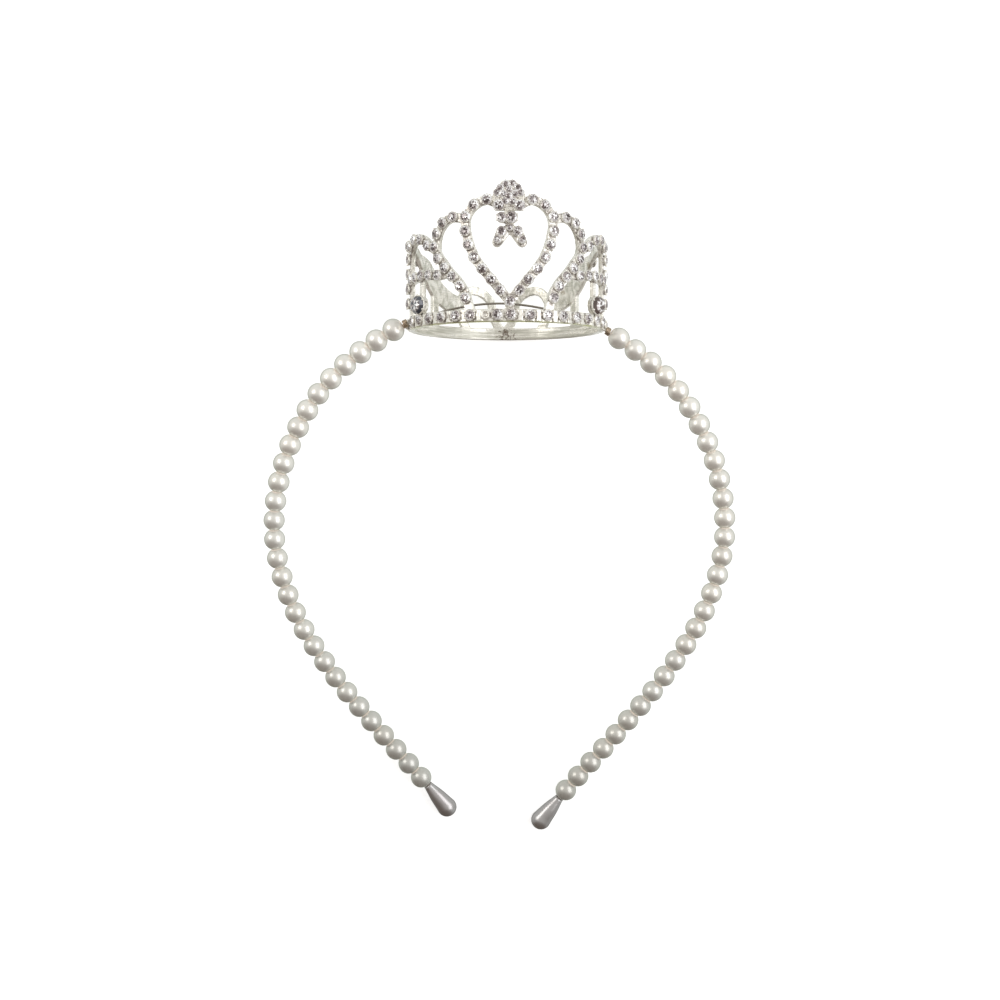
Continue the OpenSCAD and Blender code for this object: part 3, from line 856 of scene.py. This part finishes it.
class CROWN_OT_claws(bpy.types.Operator):
    """Adds the collet and the claws that hold each stone"""

    bl_idname = "crownband.claws"
    bl_label = "Collets and claws"

    def execute(self, context):
        look = settings("crown_metal")
        chance = random.Random(SEED + 2)
        for name, nodes in (("claw_settings", STONE_NODES), ("side_claw_settings", SIDE_STONE_NODES)):
            whole = bmesh.new()
            # Painted shade inside the collets
            whole.verts.layers.float.new("painted_shade")
            for node in nodes:
                for matrix, radius, towards in stone_frames(node):
                    share_of = min(1.3, radius / look.full_stone)
                    wall = look.collet * share_of ** 2
                    # The turn towards which a collet's painted shade is darkest
                    darkest_turn = chance.uniform(0, math.tau)
                    seat = radius * fullness_of(node) * 0.99
                    top = COLLET_TOP * share_of
                    bm = collet_form(seat, wall, COLLET_FOOT, top, 16, darkest_turn)
                    spread = (CLAW_TURN, math.pi - CLAW_TURN, math.pi + CLAW_TURN, -CLAW_TURN)
                    if share_of > 1.2:
                        spread = [(i + 0.5) * math.tau / LARGE_CLAWS for i in range(LARGE_CLAWS)]
                    for angle in spread:
                        angle += towards
                        at = Vector((math.cos(angle), math.sin(angle), 0)) * (seat + wall * 0.5)
                        made = bmesh.ops.create_uvsphere(
                            bm, u_segments=8, v_segments=5, radius=look.claw * share_of
                        )
                        move = Matrix.Translation(at + Vector((0, 0, top)))
                        shape = Matrix.Rotation(angle, 4, "Z") @ Matrix.Diagonal((1.05, 0.8, 1.15, 1))
                        bmesh.ops.transform(bm, matrix=move @ shape, verts=made["verts"])
                    part = new_mesh("setting", bm)
                    add_copy(whole, part, matrix)
                    bpy.data.meshes.remove(part)
            if "crest_stones" in nodes:
                crest_grains(whole, chance)
            finish_piece(name, whole, cast_metal())
        return {"FINISHED"}


def string_places(node):
    """The middles of a string's pearls, from the crown down, with the way of the string at each."""
    places = sorted((middle(points) for points in solids_of(node)), key=lambda p: -p.y)
    ways = []
    for i in range(len(places)):
        ways.append(places[min(i + 1, len(places) - 1)] - places[max(i - 1, 0)])
    return places, ways


def pearl_form(radius, half, bore, rings, turns):
    """A drilled pearl along Z: a ball of that radius, flattened by wear at both ends of its hole."""
    start = math.acos(half / radius)
    flat = radius * math.sin(start)
    outline = []
    for i in range(rings + 1):
        angle = start + (math.pi - 2 * start) * i / rings
        outline.append((radius * math.sin(angle), radius * math.cos(angle)))
    edge = (bore + flat) / 2
    outline += [(edge, -half), (bore, -half * 0.97), (bore, half * 0.97), (edge, half)]
    bm = turned(outline, turns)
    # How near a point is to the flat round its hole, where the glow is painted
    touch = bm.verts.layers.float.new("touch")
    for vert in bm.verts:
        vert[touch] = limited(1 - (vert.co.xy.length - flat) / (0.16 * radius))
    return new_mesh("pearl_form", bm)


class CROWN_OT_pearls(bpy.types.Operator):
    """Strings the two rows of drilled pearls"""

    bl_idname = "crownband.pearls"
    bl_label = "Pearls"

    def execute(self, context):
        look = settings("crown_pearls")
        chance = random.Random(SEED + 1)
        coat = pearl_coat()
        for node in ("pearls_left", "pearls_right"):
            half = look.length / 2
            form = pearl_form(half * look.girth, half, look.bore, PEARL_RINGS, PEARL_TURNS)
            bm = bmesh.new()
            bm.verts.layers.float.new("touch")
            layer = bm.faces.layers.float_color.new("shade")
            places, ways = string_places(node)
            for number, (place, way) in enumerate(zip(places, ways)):
                size = chance.uniform(look.smallest, 1.0)
                if node == "pearls_left" and number < WIDER_PEARLS:
                    size *= 1 + look.larger * (1.0 if number < WIDEST_PEARLS else WIDER_SHARE)
                turn = Matrix.Rotation(chance.uniform(0, math.tau), 4, "Z")
                faces = add_copy(bm, form, frame_at(place, way) @ turn @ Matrix.Diagonal((size, size, 1, 1)))
                # Painted shade, darker towards the far ends of the strings
                down = max(0.0, number / len(places) - look.fully_lit_share) / (1 - look.fully_lit_share)
                light = chance.uniform(0.93, 1.0) * (1 - look.end_shade * down**1.5)
                warm = chance.uniform(0.96, 1.0) - 0.01 * down
                for face in faces:
                    face[layer] = (light * (1 - 0.02 * down), light * (0.5 + warm / 2), light * warm, 1)
            finish_piece(node.replace("pearls", "pearl_string"), bm, coat, [node])
        return {"FINISHED"}


def tip_outline(body, neck, radius, steps):
    """Half outline of a teardrop: a straight flank from its neck that meets a ball at a tangent."""
    flank = math.asin(radius / math.hypot(neck, body)) - math.atan2(neck, body)
    outline = []
    for i in range(steps + 1):
        t = i / steps
        swell = 0.05 * radius * math.sin(t * math.pi) ** 2
        width = neck + (radius * math.cos(flank) - neck) * t + swell
        outline.append((width, (body - radius * math.sin(flank)) * t))
    for i in range(1, steps + 1):
        angle = (math.pi / 2 + flank) * i / steps - flank
        outline.append((radius * math.cos(angle), body + radius * math.sin(angle)))
    return outline


class CROWN_OT_tips(bpy.types.Operator):
    """Turns the two teardrop tips"""

    bl_idname = "crownband.tips"
    bl_label = "Teardrop tips"

    def execute(self, context):
        look = settings("crown_tips")
        material, tree, shader = coated(
            "tip_coat", look.silver, look.plum, 0.85, look.roughness, 220.0, 0.02 * MM
        )
        coat = shader.inputs["Base Color"].links[0].from_socket
        # Painted shade where the tips are seen at a slant, and the same colour tints their reflections
        tree.links.new(rimmed(tree, coat, look.rim_shade, 0.4, 0.9, 0.6), shader.inputs["Base Color"])
        shader.inputs["Specular Tint"].default_value = rgba(look.rim_shade)
        shader.inputs["Coat Weight"].default_value = 0.15
        shader.inputs["Coat Roughness"].default_value = 0.15
        for side in ("left", "right"):
            node = "tip_" + side
            last = string_places("pearls_" + side)[0][-1]
            points = solids_of(node)[0]
            way = (sum(points, Vector()) / len(points) - last).normalized()
            start = min((p - last).dot(way) for p in points)
            neck = middle([p for p in points if (p - last).dot(way) < start + 0.5 * MM])
            plain = (max(p.z for p in points) - min(p.z for p in points)) / 2
            body = max((p - neck).dot(way) for p in points) - plain + look.longer
            radius = plain * look.girth
            way = (way + Vector((0, 0, (radius - plain) / body))).normalized()
            hole = [(0, TIP_DEPTH), (TIP_BORE, TIP_DEPTH), (TIP_BORE + 0.02 * MM, 0.05 * MM)]
            bm = turned(hole + tip_outline(body, look.neck, radius, TIP_STEPS), TIP_TURNS, closed=False)
            bmesh.ops.transform(bm, matrix=frame_at(neck, way), verts=bm.verts)
            finish_piece("teardrop_" + side, bm, material, [node])
        return {"FINISHED"}


def wire_path():
    """The wire's route: up one string, across the inside of the crown and down the other string."""
    left = string_places("pearls_left")[0]
    right = string_places("pearls_right")[0]
    lowest = min(left[0].y, right[0].y) - 3 * MM
    inside = sorted(
        (p for p in solids_of("headband_wire")[0]
         if left[0].x + 4 * MM < p.x < right[0].x - 4 * MM and p.y > lowest),
        key=lambda p: p.x,
    )
    across, group = [], []
    for point in inside:
        if group and point.x - group[-1].x > 1.2 * MM:
            across.append(middle(group))
            group = []
        group.append(point)
    across.append(middle(group))
    ends = [places[-1] + (places[-1] - places[-2]).normalized() * 5 * MM for places in (left, right)]
    return [ends[0], *reversed(left), *across, *right, ends[1]]


class CROWN_OT_wire(bpy.types.Operator):
    """Draws the steel wire of the headband"""

    bl_idname = "crownband.wire"
    bl_label = "Headband wire"

    def execute(self, context):
        look = settings("crown_wire")
        path = wire_path()
        curve = bpy.data.curves.new("wire_route", "CURVE")
        curve.dimensions = "3D"
        curve.bevel_depth = look.wire
        curve.bevel_resolution = 3
        curve.resolution_u = 6
        curve.use_fill_caps = True
        spline = curve.splines.new("NURBS")
        spline.points.add(len(path) - 1)
        for point, at in zip(spline.points, path):
            point.co = (*at, 1)
        spline.use_endpoint_u = True
        spline.order_u = 3
        route = new_object("wire_route", curve)
        mesh = evaluated_mesh(route)
        bpy.data.objects.remove(route)
        material, tree, shader = coated("drawn_steel", look.steel, look.steel, 0.8, 0.34, 900.0, 0.01 * MM)
        place = tree.nodes.new("ShaderNodeTexCoord").outputs["Object"]
        height = add_node(tree, "ShaderNodeSeparateXYZ", sockets={"Vector": place}).outputs["Y"]
        # Painted shade: the wire is darker inside the crown
        inside = add_node(
            tree, "ShaderNodeMapRange",
            sockets={"Value": height, "From Min": FOOT_Y + 1.5 * MM, "From Max": FOOT_Y + 3 * MM},
        )
        drift = shader.inputs["Base Color"].links[0].from_socket
        tone_with_painted_light = mixed(tree, inside.outputs["Result"], drift, look.dimmed)
        tree.links.new(tone_with_painted_light, shader.inputs["Base Color"])
        finish_mesh("drawn_wire", mesh, material, ["headband_wire"])
        return {"FINISHED"}


class CROWN_OT_bindings(bpy.types.Operator):
    """Winds the soft wire that binds the headband to the crown"""

    bl_idname = "crownband.bindings"
    bl_label = "Bindings"

    def execute(self, context):
        look = settings("crown_wire")
        light = [min(1.0, c * 1.3) for c in look.gilt]
        material = coated("gilt_wire", look.gilt, light, 1.0, 0.3, 1500.0, 0.01 * MM)[0]
        for side in ("left", "right"):
            node = "binding_" + side
            points = solids_of(node)[0]
            centre = middle(points)
            way = (string_places("pearls_" + side)[0][0] - centre).normalized()
            along = [(p - centre).dot(way) for p in points]
            outer = max((p - centre - way * (p - centre).dot(way)).length for p in points)
            run = max(along) - min(along) - 2 * look.binding
            bm = bmesh.new()
            ring = bmesh.ops.create_circle(bm, cap_ends=True, segments=10, radius=look.binding)
            start = Matrix.Translation((outer - look.binding, 0, -run / 2)) @ Matrix.Rotation(math.pi / 2, 4, "X")
            bmesh.ops.transform(bm, matrix=start, verts=ring["verts"])
            steps = BINDING_TURNS * 24
            bmesh.ops.spin(
                bm, geom=bm.faces[:] + bm.edges[:] + bm.verts[:], cent=(0, 0, 0), axis=(0, 0, 1),
                dvec=(0, 0, run / steps), angle=math.tau * BINDING_TURNS, steps=steps,
            )
            bmesh.ops.remove_doubles(bm, verts=bm.verts, dist=WELD)
            bmesh.ops.recalc_face_normals(bm, faces=bm.faces)
            bmesh.ops.transform(bm, matrix=frame_at(centre, way), verts=bm.verts)
            finish_piece("wound_binding_" + side, bm, material, [node])
        return {"FINISHED"}


# Stage

def soft_box(name, direction, distance, width, height, power, tint):
    light = bpy.data.lights.new(name, "AREA")
    light.shape = "RECTANGLE"
    light.size = width
    light.size_y = height
    light.energy = power
    light.color = tint
    lamp = new_object(name, light)
    way = Vector(direction).normalized()
    lamp.location = way * distance
    lamp.rotation_euler = way.to_track_quat("Z", "Y").to_euler()


def studio_world():
    """A pale studio, bright round the horizon and overhead, with a dim room on the near side."""
    look = settings("crown_stage")
    world = bpy.data.worlds.new("studio")
    bpy.context.scene.world = world
    world.use_nodes = True
    tree = world.node_tree
    back = tree.nodes["Background"]
    way = tree.nodes.new("ShaderNodeTexCoord").outputs["Generated"]
    shade = look.horizon
    for towards, low, high, tint in (
        ((0, 0, 1), 0.0, 1.0, look.overhead), ((-0.25, -0.95, 0.17), 0.12, 0.85, look.dark_side)
    ):
        lean = vector_of(tree, "DOT_PRODUCT", way, towards, result="Value")
        shade = mixed(tree, smooth_step(tree, lean, low, high), shade, tint)
    tree.links.new(shade, back.inputs["Color"])
    back.inputs["Strength"].default_value = 1.0


class CROWN_OT_stage(bpy.types.Operator):
    """Sets up the pale floor, the soft lights and the camera above the part"""

    bl_idname = "crownband.stage"
    bl_label = "Stage"

    def execute(self, context):
        look = settings("crown_stage")
        scene = context.scene
        camera = bpy.data.cameras.new("camera")
        camera.lens = look.lens
        camera.sensor_width = 36
        camera.clip_start = 0.01
        camera.clip_end = 100
        eye = new_object("camera", camera)
        eye.location = (AXIS_X - look.picture_x, FOOT_Y - look.picture_y, AXIS_Z + look.camera_height)
        scene.camera = eye
        scene.view_settings.view_transform = "Standard"
        studio_world()
        bm = bmesh.new()
        bmesh.ops.create_grid(bm, x_segments=1, y_segments=1, size=FLOOR_REACH)
        mesh = new_mesh("floor", bm)
        material = new_material(
            "pale_floor", Base_Color=rgba(look.floor), Roughness=0.9,
            Emission_Color=(1, 1, 1, 1), Emission_Strength=look.glow,
        )[0]
        mesh.materials.append(material)
        floor = new_object("floor", mesh)
        floor.visible_glossy = False
        soft_box("right_light", (0.68, 0.10, 0.73), 0.9, 1.0, 0.6, look.key, (0.96, 0.97, 1.0))
        soft_box("left_light", (-0.70, 0.33, 0.63), 0.9, 0.4, 0.4, look.fill, (1.0, 0.98, 0.95))
        return {"FINISHED"}


class CROWN_PT_panel(bpy.types.Panel):
    """Lists the steps and settings of the mini crown headband"""

    bl_idname = "CROWN_PT_panel"
    bl_label = "Mini crown headband"
    bl_space_type = "VIEW_3D"
    bl_region_type = "UI"
    bl_category = "Crown"

    def draw(self, context):
        for step in STEPS:
            self.layout.operator(step.bl_idname)
        for name, group in SETTINGS.items():
            box = self.layout.box()
            for key in group.__annotations__:
                box.prop(settings(name), key)


STEPS = (
    CROWN_OT_stage, CROWN_OT_casting, CROWN_OT_stones, CROWN_OT_claws, CROWN_OT_pearls, CROWN_OT_tips,
    CROWN_OT_wire, CROWN_OT_bindings,
)
SETTINGS = {
    "crown_metal": MetalSettings,
    "crown_stones": StoneSettings,
    "crown_pearls": PearlSettings,
    "crown_tips": TipSettings,
    "crown_wire": WireSettings,
    "crown_stage": StageSettings,
}


def register():
    for group in SETTINGS.values():
        bpy.utils.register_class(group)
    for name, group in SETTINGS.items():
        setattr(bpy.types.Scene, name, bpy.props.PointerProperty(type=group))
    for step in STEPS:
        bpy.utils.register_class(step)
    bpy.utils.register_class(CROWN_PT_panel)


def unregister():
    bpy.utils.unregister_class(CROWN_PT_panel)
    for step in reversed(STEPS):
        bpy.utils.unregister_class(step)
    for name, group in reversed(SETTINGS.items()):
        delattr(bpy.types.Scene, name)
        bpy.utils.unregister_class(group)


def main():
    register()
    for step in STEPS:
        area, name = step.bl_idname.split(".")
        getattr(getattr(bpy.ops, area), name)()


if __name__ == "__main__":
    main()
